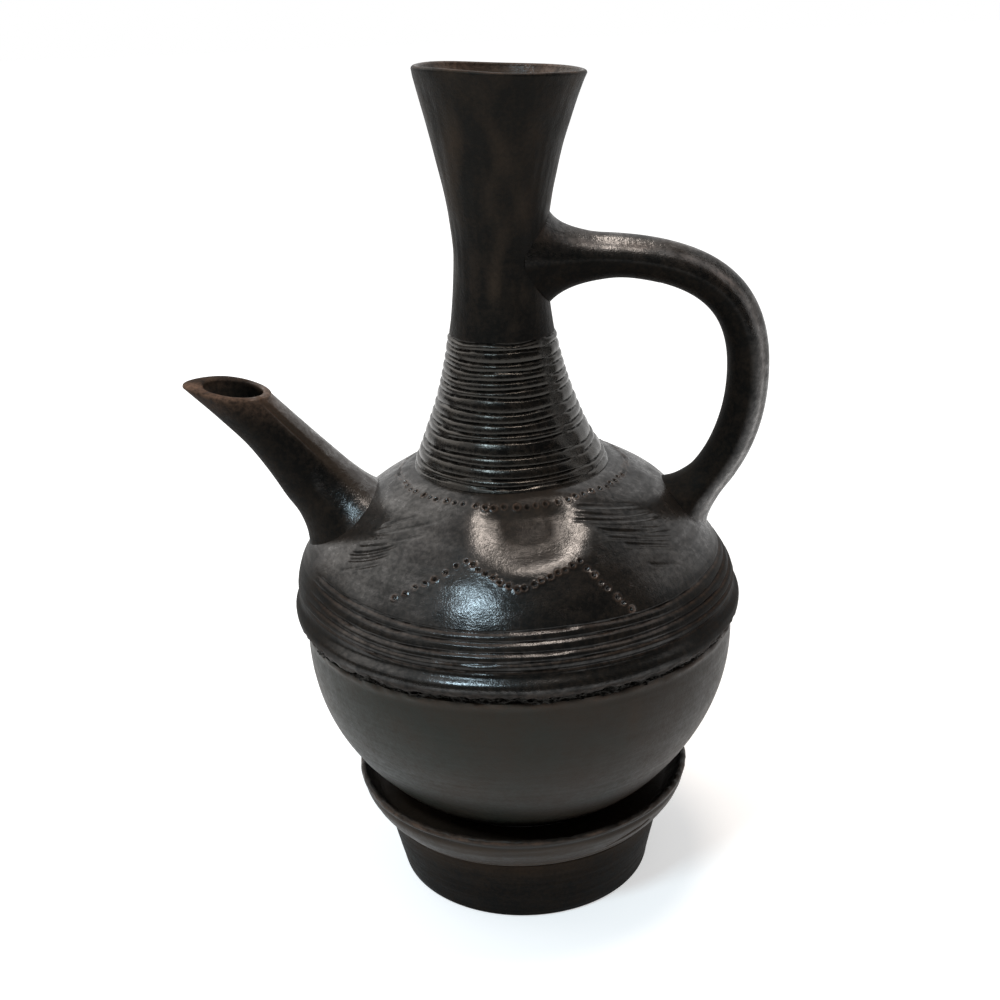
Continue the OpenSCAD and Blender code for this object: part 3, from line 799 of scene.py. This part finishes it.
def shoulder_dome():
    def groove_rows(z):
        low_end, high_end = SHOULDER_GROOVES[0], SHOULDER_GROOVES[-1]
        return 1 + 0.7 * band(z, low_end - 3, low_end - 1, high_end + 2, high_end + 4)

    outside = resampled(shoulder_line(), 204, groove_rows)
    inner_z = np.linspace(NECK_BASE - WALL, SEAM_TOP, 12)
    inside = np.vstack([
        [(NECK_BASE_RADIUS - NECK_WALL, NECK_BASE)],
        np.column_stack([np.maximum(shoulder_radius(inner_z) - 1.3 * WALL, 22), inner_z]),
    ])

    def in_front(angle):
        return fade(apart(angle, 0), 62, 76)

    def beside_spout(angle):
        """1 where there are grooves, and 0 under the spout."""
        return smooth(apart(angle, SPOUT_ANGLE), 19, 30)

    def columns(angle):
        """Density of columns: finest in front, and fine by the dots behind."""
        return 0.45 + 2.2 * in_front(angle) + 1.3 * fade(apart(angle, BACK), 36, 46)

    def uneven(angle, z, radius):
        """How the hand-built shoulder strays from its round form."""
        by_spout, by_handle = turn_from(angle, SPOUT_ANGLE), turn_from(angle, HANDLE_ANGLE)
        under_spout = 2.8 * hill(by_spout, 0, 30) * hill(z, WIDEST_Z + 14, 8)
        sunk = 0.3 * hill(by_spout, 0, 60) * band(z - NECK_BASE, -8, -4, -2, 0)
        under_handle = 0.8 * hill(by_handle, 0, 35) * hill(radius, 45, 6)
        wobble = 0.3 * ripple(51, angle, z, 4, 70) + 0.04 * ripple(52, angle, z, 18, 5)
        return wobble + under_spout + under_handle - sunk

    def groove_lines(angle):
        """Heights of the grooves, which climb towards the spout."""
        climb = 1.3 * fade(apart(angle, SPOUT_ANGLE), 22, 62)
        return [z + climb + 0.2 * wander(60 + i, angle, 7) for i, z in enumerate(SHOULDER_GROOVES)]

    def relief(angle, z, radius):
        total = uneven(angle, z, radius)
        kept, front = beside_spout(angle), in_front(angle)
        lines = groove_lines(angle)
        for i, line in enumerate(lines):
            depth = GROOVE_DEPTH * (0.95 + 0.25 * wander(70 + i, angle, 40)) * kept
            total += scored(z, line, depth, GROOVE_WIDTH)
        for below, above in zip(lines, lines[1:]):
            total += RIDGE_RISE * kept * ridge(z, below, above)
        inward = fade(from_hollow(angle, z), 0.34, 1.0) * fade(z, *HOLLOW_END)
        total -= HOLLOW_DEPTH * inward
        total += dot_relief(angle, z, radius)[0] + hatch_relief(angle, z)
        swell = 1.0 - 0.7 * smooth(apart(angle, 0), 40, 80)
        total += swell * hill(z, SEAM_TOP + 1.1, 2.6) - 1.2 * hill(z, WIDEST_Z + 2.6, 2.0)
        by_lip = fade(z, SEAM_TOP + 0.5, SEAM_TOP + 2.4)
        flakes = 0.2 * ripple(81, angle, z, 110, 1.2, 90) * front
        flakes += 0.08 * ripple(84, angle, z, 35, 1.5) * (1 - front)
        torn_edge = 0.25 * wander(82, angle, 30) + 0.4 * np.abs(wander(83, angle, 130)) * front
        return total + flakes * by_lip, torn_edge * by_lip

    def wear_and_highlights(angle, z, radius):
        """The worn lip, and painted highlights on the burrs of the dots and the lower edges of the
        grooves.
        """
        burrs = dot_relief(angle, z, radius)[1]
        painted_groove_highlights = sum(hill(z, line - 0.4, 0.32) for line in groove_lines(angle))
        # Painted highlights: the dots' burrs and the grooves' lower edges are lightened with the worn
        # colour; the lip is worn.
        return 0.1 * hill(z, SEAM_TOP + 1.0, 1.0) + 2.0 * burrs + 0.2 * beside_spout(angle) * painted_groove_highlights

    def dull(angle, z, radius):
        """The middle and the bottom of the hollow, the lower shoulder, and under the lip."""
        across = np.abs(across_hollow(angle) + 0.3 * ripple(85, angle, z, 40, 6))
        reach = 8 + 0.6 * (z - 124)
        middle = 0.95 * fade(across, reach - 6, reach + 7) * smooth(z, 119, 130)
        sides = smooth(apart(angle, -5), 22, 55)
        lower = fade(z, WIDEST_Z + 10, WIDEST_Z + 24)
        grooved = fade(z, SHOULDER_GROOVES[-1], SHOULDER_GROOVES[-1] + 3)
        upper = 0.3 * hill(angle, -10, 20) * band(z, 116.5, 121, 123, 128)
        shaded = np.maximum(0.35 + 0.2 * grooved + upper, sides * lower)
        on_lip = fade(z, SEAM_TOP + 4, SEAM_TOP + 6)
        shaded = shaded * (1 - on_lip * hill(angle, -12, 22))
        bottom = fade(from_hollow(angle, z), 1.0, 1.2) * fade(z, 121, 128)
        bottom = bottom * (0.75 + 0.2 * smooth(turn_from(angle, HOLLOW_ANGLE), 0, 10))
        under_lip = 0.85 * fade(z, SEAM_TOP + 1.4, SEAM_TOP + 2.8)
        return np.maximum(np.maximum(middle, bottom), np.maximum(shaded, under_lip))

    def brown(angle, z, radius):
        sides = smooth(apart(angle, -5), 24, 60) * smooth(z, WIDEST_Z + 8, WIDEST_Z + 20)
        front = fade(apart(angle, 5), 40, 70)
        grooved = fade(z, SHOULDER_GROOVES[-1], SHOULDER_GROOVES[-1] + 4)
        pressed = fade(from_hollow(angle, z), 0.7, 1.1)
        # Painted shade: in front the grooved band below the last groove is made darker.
        return 0.15 * sides + 0.2 * pressed - 0.3 * grooved * front

    turned("shoulder_dome", outside, inside, spaced(-180, 180, 459, columns)[:-1], relief,
           burnished_shoulder, {"wear_and_highlights": wear_and_highlights, "matte": dull, "brown": brown}, bent)


# Heights of the neck's rings above its base, and the angle of an upright strip that is rubbed smooth
NECK_RINGS = (
    1.6, 3.4, 6.6, 9.1, 13.2, 15.2, 17.9, 20.9, 24.5, 26.8, 29.4, 32.1, 34.6, 37.9, 39.9
)
RUBBED_STRIP = 48.0
NECK_RIDGE_RISE = 0.42


def throat_wobble(angle, z):
    return 0.2 * ripple(91, angle, z, 5, 50)


def neck_cone():
    outside = resampled(throat_line(NECK_BASE, NECK_TOP, 300), 360)
    inside = throat_line(NECK_TOP, NECK_BASE, 12) - (NECK_WALL, 0)

    def relief(angle, z, radius):
        total = throat_wobble(angle, z) + 0.03 * ripple(92, angle, z, 30, 20)
        rubbed = 1 - 0.7 * hill(turn_from(angle, RUBBED_STRIP), 0, 8)
        lines = [NECK_BASE + rise + 0.25 * wander(100 + i, angle, 6) for i, rise in enumerate(NECK_RINGS)]
        for i, line in enumerate(lines):
            broken = smooth(wander(120 + i, angle, 9), -1.5, -0.7)
            depth = GROOVE_DEPTH * (0.3 + 0.7 * broken) * (1 + 0.2 * wander(140 + i, angle, 50)) * rubbed
            total += scored(z, line, depth, 0.7 * GROOVE_WIDTH)
        for below, above in zip(lines, lines[1:]):
            total += NECK_RIDGE_RISE * rubbed * ridge(z, below, above)
        return total, 0

    def dull(angle, z, radius):
        return 0.2 * smooth(z, NECK_TOP - 3, NECK_TOP)

    turned("neck_cone", outside, inside, even_angles(256), relief, burnished_neck, {"matte": dull}, bent)


def mouth_funnel():
    edge, thinner = 0.8, 1.4
    wall = RIM_WALL - thinner
    widest = throat_radius(RIM - edge)
    round_lip = np.vstack([
        arc((widest - edge, RIM - edge), edge, 0, 90),
        arc((widest - wall + edge, RIM - edge), edge, 90, 180),
    ])
    outside = np.vstack([resampled(throat_line(NECK_TOP, RIM - edge, 200), 150), round_lip[1:]])
    inner_z = np.linspace(RIM - 2 * edge, NECK_TOP, 50)
    inner = throat_radius(inner_z) - throat_wall(inner_z) + thinner * smooth(inner_z, RIM - 10, RIM)
    inside = np.column_stack([inner, inner_z])

    def within(z, radius):
        """1 on the inner side of the wall."""
        return smooth(throat_radius(z) - radius, 0.8, 1.4)

    def relief(angle, z, radius):
        below = fade(z, RIM - 3, RIM)
        above = smooth(z, NECK_TOP, NECK_TOP + 4)
        strokes = 0.025 * ripple(142, angle, z, 40, 30) + 0.05 * ripple(147, angle, z, 14, 12)
        waves = 0.2 * wander(143, angle, 5) * smooth(z, RIM - 25, RIM)
        return (throat_wobble(angle, z) + strokes * above) * below, waves

    def wear_and_highlights(angle, z, radius):
        on_lip = 0.3 * smooth(z, RIM - 0.5, RIM - 0.1) * (0.8 + 0.3 * wander(144, angle, 20))
        inside_wear_and_glints = 0.8 + 0.4 * ripple(146, angle, z, 30, 30)
        inside_wear_and_glints = 0.2 * inside_wear_and_glints * smooth(z, RIM - 22, RIM - 4)
        # Painted highlights: glints on the far inside of the mouth, to its left and right.
        painted_glints = hill(turn_from(angle, -140), 0, 18) + hill(turn_from(angle, 142), 0, 18)
        inside_wear_and_glints = inside_wear_and_glints + 0.5 * painted_glints * smooth(z, RIM - 9, RIM - 3)
        return np.maximum(on_lip, inside_wear_and_glints * within(z, radius))

    def brown(angle, z, radius):
        patchy = 0.1 + 0.3 * ripple(145, angle, z, 12, 20)
        return np.maximum(patchy * smooth(z, NECK_TOP, NECK_TOP + 15), 0.6 * within(z, radius))

    def dull(angle, z, radius):
        """The outside, and the far side of the inside."""
        behind = 0.9 * hill(turn_from(angle, BACK), 0, 32)
        return np.maximum(1 - within(z, radius), behind)

    turned("mouth_funnel", outside, inside, even_angles(400), relief, burnished_mouth,
           {"wear_and_highlights": wear_and_highlights, "matte": dull, "brown": brown}, bent)


# Spout

def heading(angle):
    return np.array([math.cos(math.radians(angle)), math.sin(math.radians(angle))])


def spout_route():
    """The spout's middle line, the distance along it to the mouth, and the mouth's middle."""
    root_z = SEAM_TOP + SPOUT_ROOT_RISE
    root = np.array([-float(shoulder_radius(root_z)), root_z])
    out, end_out = heading(180 - SPOUT_ROOT_ANGLE), heading(180 - SPOUT_MOUTH_ANGLE)
    bend = root + SPOUT_LOWER_RUN * out
    mouth = bend + SPOUT_UPPER_RUN * end_out
    lead = np.linspace(root - 2 * WALL * out, root, 20)[:-1]
    curve = bezier([root, bend, mouth], np.linspace(0, 1, 200))
    tail = np.linspace(mouth, mouth + 2 * SPOUT_MOUTH_RADIUS * end_out, 40)[1:]
    route = Route(np.vstack([lead, curve, tail]))
    to_mouth = route.run[len(lead) + len(curve) - 1]
    return route, to_mouth, np.array([mouth[0], 0, mouth[1]])


def spout_section(side, at, to_mouth):
    """How far the spout reaches to its underside and to the front.

    Its sides are told by an angle from its underside, by way of the front.
    """
    a = np.radians(side)
    left = np.clip(1 - at / to_mouth, 0, 1)
    r = SPOUT_MOUTH_RADIUS + (SPOUT_ROOT_RADIUS - SPOUT_MOUTH_RADIUS) * left ** SPOUT_TAPER
    r = r + 0.15 * ripple(151, side, at, 4, 60)
    free = band(at, 24, 34, to_mouth - 16, to_mouth - 6)
    r = r - 0.7 * hill(side, 138, 5) * free
    r = r - (0.1 + 0.8 * smooth(at, 20, to_mouth)) * hill(turn_from(side, 180), 0, 60)
    r = r + (1.2 * hill(at, 24, 9) - 0.6 * hill(at, 46, 8)) * hill(side, 0, 55)
    beak = smooth(np.cos(a), 0.0, 1.0) * smooth(at, to_mouth - 22, to_mouth)
    return r * np.cos(a), r * np.sin(a) * (1 - 0.2 * beak)


def spout_dull(side, at):
    """1 on the underside, which the stone didn't reach, and in the crease along the top."""
    beyond = 0.45 * smooth(at, 22, 34)
    under = smooth(np.cos(np.radians(side)), -0.35 - beyond, 0.1 - beyond)
    return np.maximum(under, hill(side, 136, 7) * smooth(at, 24, 34))


def spout_painted_top_light(side):
    """1 along the top, where the brown mask paints light on the lit top."""
    return smooth(-np.cos(np.radians(side)), 0.5, 0.8)


def spout_tube():
    route, to_mouth, mouth = spout_route()
    tilt = math.radians(SPOUT_MOUTH_TILT)
    up = np.array([math.sin(tilt), -SPOUT_MOUTH_TWIST, math.cos(tilt)])
    columns, on_outside, in_bore = 180, 170, 40
    lip = 1.0
    side = even_angles(columns)[None, :]
    a = np.radians(side)

    def outer(distance):
        return route.off(distance, *spout_section(side, distance, to_mouth))

    def bore(distance):
        by_mouth = smooth(distance, to_mouth - 25, to_mouth)
        r = SPOUT_BORE + 0.1 * by_mouth
        return route.off(distance, r * np.cos(a) - 0.9 * by_mouth, r * np.sin(a))

    def level(points):
        return (points - mouth) @ up - SPOUT_MOUTH_RAISED

    def cut(wall_side):
        """Distance at which each line of a side comes to the level of the lip's foot."""
        near = np.full((1, columns), to_mouth - 25.0)
        far = np.full((1, columns), route.length)
        for _ in range(40):
            middle = (near + far) / 2
            below = level(wall_side(middle)) < -lip
            near, far = np.where(below, middle, near), np.where(below, far, middle)
        return near

    outer_end, bore_end = cut(outer), cut(bore)
    rows = [outer(outer_end * share) for share in np.linspace(0, 1, on_outside)]
    first, last = outer(outer_end), bore(bore_end)
    for share in np.linspace(0, 1, 16)[1:-1]:
        across = (1 - math.cos(math.pi * share)) / 2
        lift = lip * math.sin(math.pi * share) ** 0.6
        rows.append(first * (1 - across) + last * across + lift * up)
    rows += [bore(bore_end * share) for share in np.linspace(1, 0, in_bore)]
    points = np.vstack(rows)
    height = level(points)
    patchy = (0.75 + 0.25 * ripple(152, side, height, 6, 8)) * (0.35 + 0.65 * smooth(np.sin(a), -0.4, 0.2))
    wear_and_highlights = (0.8 * smooth(height, -2.0, 0.2) + 0.35 * smooth(height, -9, -1)) * patchy
    wear_and_highlights[2 - in_bore:] = 0
    at = to_mouth * np.clip(np.arange(len(points)) / on_outside, 0, 1)[:, None]
    dull = np.maximum(spout_dull(side, at), 0.5 * smooth(height, -3, 0))
    # The brown mask paints light along the spout's top.
    masks = {"wear_and_highlights": np.clip(wear_and_highlights, 0, 1), "matte": dull, "brown": spout_painted_top_light(side) + 0 * height}
    add_piece("spout_tube", points, closed_grid(points), burnished_spout, masks)


# Collars of luting clay: points round and along, skin over what they hold, and size underneath
COLLAR_SIDES = 120
COLLAR_ROWS = 130
COLLAR_SKIN = 0.04
COLLAR_UNDER = 0.88


def flared(route, section, wall, start, way, inset, length, spread, bias=0.0, lopsided=0.0):
    """Points of a collar that spreads on a wall and closes under itself, with their sides and runs.

    It runs from start, forward or back by way, from inset inside the wall to length outside it.
    section(side, at) is how far what it holds reaches to the route's left and to the front, spread how
    much further the collar does at the wall. On the left, bias makes it wider and lopsided shorter.
    """
    side = way * even_angles(COLLAR_SIDES)[None, :]
    a = np.radians(side)
    run = np.linspace(0, inset + 1.2 * length * (1 + abs(lopsided)), COLLAR_ROWS)[:, None]
    at = start + way * run
    length = length * (1 - lopsided * np.cos(a))
    ending = fade(run, inset + 0.5 * length, inset + 1.1 * length)
    left, front = section(side, at)
    share = np.zeros(left.shape)
    for _ in range(8):
        further = (COLLAR_SKIN + spread[0] * share * (1 + bias * np.cos(a))) * np.cos(a)
        points = route.off(at, left + further, front + (COLLAR_SKIN + spread[1] * share) * np.sin(a))
        near = np.clip(1 - wall_gap(points, wall) / length, 0, 1)
        share = (share + (0.75 * near ** 2 + 0.25 * near ** 8) * ending) / 2
    back = at[::-8]
    left, front = section(side, back)
    under = route.off(back, COLLAR_UNDER * left, COLLAR_UNDER * front)
    return np.vstack([points, under]), side, np.vstack([at, back])


def spout_collar():
    route, to_mouth, _ = spout_route()

    def section(side, at):
        return spout_section(side, at, to_mouth)

    points, side, at = flared(
        route, section, shoulder_line(), start=0, way=1, inset=2 * WALL, length=SPOUT_COLLAR_HEIGHT,
        spread=(SPOUT_COLLAR_SPREAD, SPOUT_COLLAR_SPREAD), bias=0.85)
    # The brown mask paints light along the collar's top.
    masks = {"matte": spout_dull(side, at), "brown": spout_painted_top_light(side) + 0 * at}
    add_piece("spout_collar", points, closed_grid(points), burnished_spout, masks)


# Handle

def handle_route():
    top_z = WAIST_Z - HANDLE_TOP_DROP
    top = np.array([float(throat_radius(top_z)), top_z])
    bow = np.array([HANDLE_REACH, top_z - HANDLE_BOW_DROP])
    root_z = SEAM_TOP + HANDLE_ROOT_RISE
    root = np.array([float(shoulder_radius(root_z)), root_z])
    out = heading(HANDLE_ROOT_ANGLE)
    neck, upper, lower, last = HANDLE_PULLS
    t = np.linspace(0, 1, 150)
    first_half = bezier([top, top + (neck, 0), bow + (0, upper), bow], t)
    second_half = bezier([bow, bow - (0, lower), root + last * out, root], t)[1:]
    lead = np.linspace(top - (2 * NECK_WALL, 0), top, 20)[:-1]
    tail = np.linspace(root, root - 2 * WALL * out, 20)[1:]
    return Route(np.vstack([lead, first_half, second_half, tail]))


def handle_section(side, at):
    """How far the handle reaches to its outer side and to the front: two facets over a round."""
    a = np.radians(side)
    facets = 1 - 0.15 * hill(np.abs(side), 42, 26) + 0.05 * hill(np.abs(side), 92, 14) + 0 * at
    return HANDLE_HALF_THICK * np.cos(a) * facets, HANDLE_HALF_WIDE * np.sin(a) * facets


def handle_masks(side, at):
    """Ridges lighter in patches, a painted highlight, and a browner top, painted light on the lit top,
    over an underside that the stone didn't reach.
    """
    # Painted highlight: the ridges are lightened with the worn colour.
    ridge = hill(np.abs(side), 50, 14) * (0.5 + 0.3 * ripple(162, side, at, 4, 12))
    # Painted light: the top, which faces the light, is browner and lighter.
    top = hill(side, 0, 60) * (0.35 + 0.25 * ripple(163, side, at, 5, 9))
    dull = smooth(np.abs(side), 70, 100) + 0 * at
    return {"wear_and_highlights": np.clip(0.4 * ridge, 0, 1), "brown": np.clip(top, 0, 1), "matte": dull}


def handle_loop():
    """The handle. Its sides are told by an angle from its outer side, by way of the front."""
    route = handle_route()
    side = even_angles(120)[None, :]
    at = np.linspace(0, route.length, 240)[:, None]
    free = band(at, 20, 40, route.length - 40, route.length - 20)
    uneven = 1 + 0.018 * ripple(161, side, at, 3, 40) * free
    left, front = handle_section(side, at)
    points = route.off(at, left * uneven, front * uneven)
    index = numbered(points)
    faces = ring_faces(index) + [index[0][::-1].tolist(), index[-1].tolist()]
    add_piece("handle_loop", points, faces, burnished_handle, handle_masks(side, at))


def handle_pad(node_name, wall, **collar):
    points, side, at = flared(handle_route(), handle_section, wall, **collar)
    add_piece(node_name, points, closed_grid(points), burnished_handle, handle_masks(side, at))


stand_foot()
stand_dish()
belly_bowl()
seam_band()
shoulder_dome()
neck_cone()
mouth_funnel()
spout_tube()
spout_collar()
handle_loop()
handle_pad("handle_neck_pad", throat_line(NECK_BASE, RIM, 400), start=0, way=1, inset=2 * NECK_WALL,
           length=NECK_PAD_LENGTH, spread=(NECK_PAD_RISE, NECK_PAD_SPREAD), bias=-0.1, lopsided=0.24)
handle_pad("handle_shoulder_pad", shoulder_line(), start=handle_route().length, way=-1, inset=2 * WALL,
           length=SHOULDER_PAD_LENGTH, spread=(SHOULDER_PAD_SPREAD, SHOULDER_PAD_SPREAD))


# Camera
CAMERA_PLACE = (-7.7, -397.5, 275.9)
CAMERA_PITCH = 20.8
CAMERA_ROLL = -2.39
FOCAL_PIXELS = 1378.3
MIDDLE_PIXEL = (488.8, 498.9)
IMAGE_PIXELS = 1000


def add_camera():
    lens = bpy.data.cameras.new("camera")
    lens.sensor_width = 36.0
    lens.lens = FOCAL_PIXELS * lens.sensor_width / IMAGE_PIXELS
    lens.shift_x = 0.5 - MIDDLE_PIXEL[0] / IMAGE_PIXELS
    lens.shift_y = MIDDLE_PIXEL[1] / IMAGE_PIXELS - 0.5
    lens.clip_start = 0.01
    made = add_object("camera", lens)
    pitch, roll = math.radians(CAMERA_PITCH), math.radians(CAMERA_ROLL)
    level, above = Vector((1, 0, 0)), Vector((0, math.sin(pitch), math.cos(pitch)))
    right = math.cos(roll) * level + math.sin(roll) * above
    top = math.cos(roll) * above - math.sin(roll) * level
    turn = Matrix((right, top, right.cross(top))).transposed().to_4x4()
    made.matrix_world = Matrix.Translation(Vector(CAMERA_PLACE) * MM) @ turn
    bpy.context.scene.camera = made


# Light and stage, in metres
AIM = (0, 0, 0.12)
FLOOR_HALF = 6.0
FLOOR_GREY = 0.8
GLOW_REACH = (0.15, 1.3)
GLOW = (0.5, 0.72)
FLAG_RADIUS = 1.6
FLAG_GREY = 0.02
SKY = (0.4, 0.4, 0.4)
WHITE = (1.0, 1.0, 1.0)


def add_lamp(name, azimuth, elevation, distance, size, radiance, colour, shape="RECTANGLE"):
    """An area lamp aimed at the pot. Azimuth 0 is the front, and 90 the handle's side."""
    a, e = math.radians(azimuth), math.radians(elevation)
    away = Vector((math.sin(a) * math.cos(e), -math.cos(a) * math.cos(e), math.sin(e)))
    lamp = bpy.data.lights.new(name, "AREA")
    lamp.shape = shape
    lamp.size, lamp.size_y = size
    area = size[0] * size[1] * (math.pi / 4 if shape == "ELLIPSE" else 1)
    lamp.energy = radiance * math.pi * area
    lamp.color = colour
    made = add_object(name, lamp)
    made.location = Vector(AIM) + away * distance
    made.rotation_euler = (-away).to_track_quat("-Z", "Y").to_euler()
    made.visible_camera = False


def seen_directly(tree):
    """1 for what the camera sees, straight or in a reflection or through glass."""
    path = node(tree, "LightPath").outputs
    kinds = ("Is Camera Ray", "Is Glossy Ray", "Is Transmission Ray")
    return maths(tree, "MAXIMUM", *(path[kind] for kind in kinds))


def add_world():
    world = bpy.data.worlds.new("studio")
    world.use_nodes = True
    bpy.context.scene.world = world
    tree = world.node_tree
    fill(tree, tree.nodes["Background"], {"Color": mixed(tree, seen_directly(tree), SKY, WHITE)})


def paper(name, grey):
    """A plain material with no gloss, its node tree and its shader."""
    made, tree, shader = new_material(name)
    plain = {"Base Color": (grey, grey, grey, 1), "Roughness": 1.0, "Specular IOR Level": 0.0}
    fill(tree, shader, plain)
    return made, tree, shader


def add_floor():
    mesh = bpy.data.meshes.new("floor")
    corners = [(x * FLOOR_HALF, y * FLOOR_HALF, 0) for x, y in ((-1, -1), (1, -1), (1, 1), (-1, 1))]
    mesh.from_pydata(corners, [], [(0, 1, 2, 3)])
    white, tree, shader = paper("white_paper", FLOOR_GREY)
    place = node(tree, "TexCoord").outputs["Object"]
    away = node(tree, "VectorMath", {0: place}, operation="LENGTH").outputs["Value"]
    glow = ranged(tree, away, *GLOW_REACH, *GLOW)
    strength = maths(tree, "MULTIPLY", seen_directly(tree), glow)
    fill(tree, shader, {"Emission Color": (*WHITE, 1), "Emission Strength": strength})
    mesh.materials.append(white)
    add_object("floor", mesh)


def add_flag(name, azimuths, elevations):
    """A dark screen round the pot, for the dark reflections that give its gloss its shape."""
    e = np.radians(np.linspace(*elevations, 13))[:, None]
    a = np.radians(np.linspace(*azimuths, 41))
    away = np.stack([np.cos(e) * np.sin(a), -np.cos(e) * np.cos(a), np.sin(e) + 0 * a], axis=-1)
    index = numbered(away)
    faces = np.stack([index[:-1, :-1], index[:-1, 1:], index[1:, 1:], index[1:, :-1]], axis=-1)
    mesh = bpy.data.meshes.new(name)
    mesh.from_pydata((FLAG_RADIUS * away).reshape(-1, 3).tolist(), [], faces.reshape(-1, 4).tolist())
    mesh.materials.append(paper(name + "_cloth", FLAG_GREY)[0])
    flag = add_object(name, mesh)
    flag.visible_camera = False
    flag.visible_diffuse = False
    flag.visible_shadow = False


add_camera()
add_world()
add_floor()
add_flag("front_flag", azimuths=(-50, 88), elevations=(0.5, 66))
add_flag("left_flag", azimuths=(-125, -50), elevations=(0.5, 24))
add_lamp("side_light", azimuth=-118, elevation=38, distance=1.3, size=(1.4, 1.1), radiance=1.2,
         colour=(1.0, 0.96, 0.91))
add_lamp("warm_lamp", azimuth=67, elevation=82.5, distance=1.1, size=(0.32, 0.2), radiance=34.0,
         colour=(1.0, 0.87, 0.77), shape="ELLIPSE")
add_lamp("cool_lamp", azimuth=-32, elevation=49, distance=1.0, size=(0.2, 0.09), radiance=84.0,
         colour=(0.66, 0.87, 1.0))

bpy.context.scene.view_settings.view_transform = "Standard"
